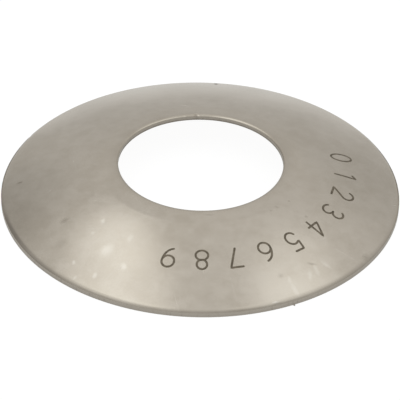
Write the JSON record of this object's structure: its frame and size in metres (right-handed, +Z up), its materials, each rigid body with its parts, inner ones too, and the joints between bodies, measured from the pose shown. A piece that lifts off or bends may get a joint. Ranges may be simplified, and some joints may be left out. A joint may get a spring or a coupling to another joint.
{
  "type": "spherical washer",
  "caption": "Thin ring of sheet steel dished to a ball radius, with a round bore and a flatter margin around it; lies between a gear's rounded back and its housing pocket and takes up thrust.",
  "frame": {"origin": "middle of the rim, on the surface that the washer lies on", "axes": "+Z up the bore's axis towards the convex face, +Y away from the picture's camera, +X to its right"},
  "size_m": [0.086, 0.086, 0.0091],
  "materials": {
    "steel": "bare satin sheet steel with light handling marks"
  },
  "bodies": {
    "root": {"washer": "steel"}
  },
  "joints": []
}
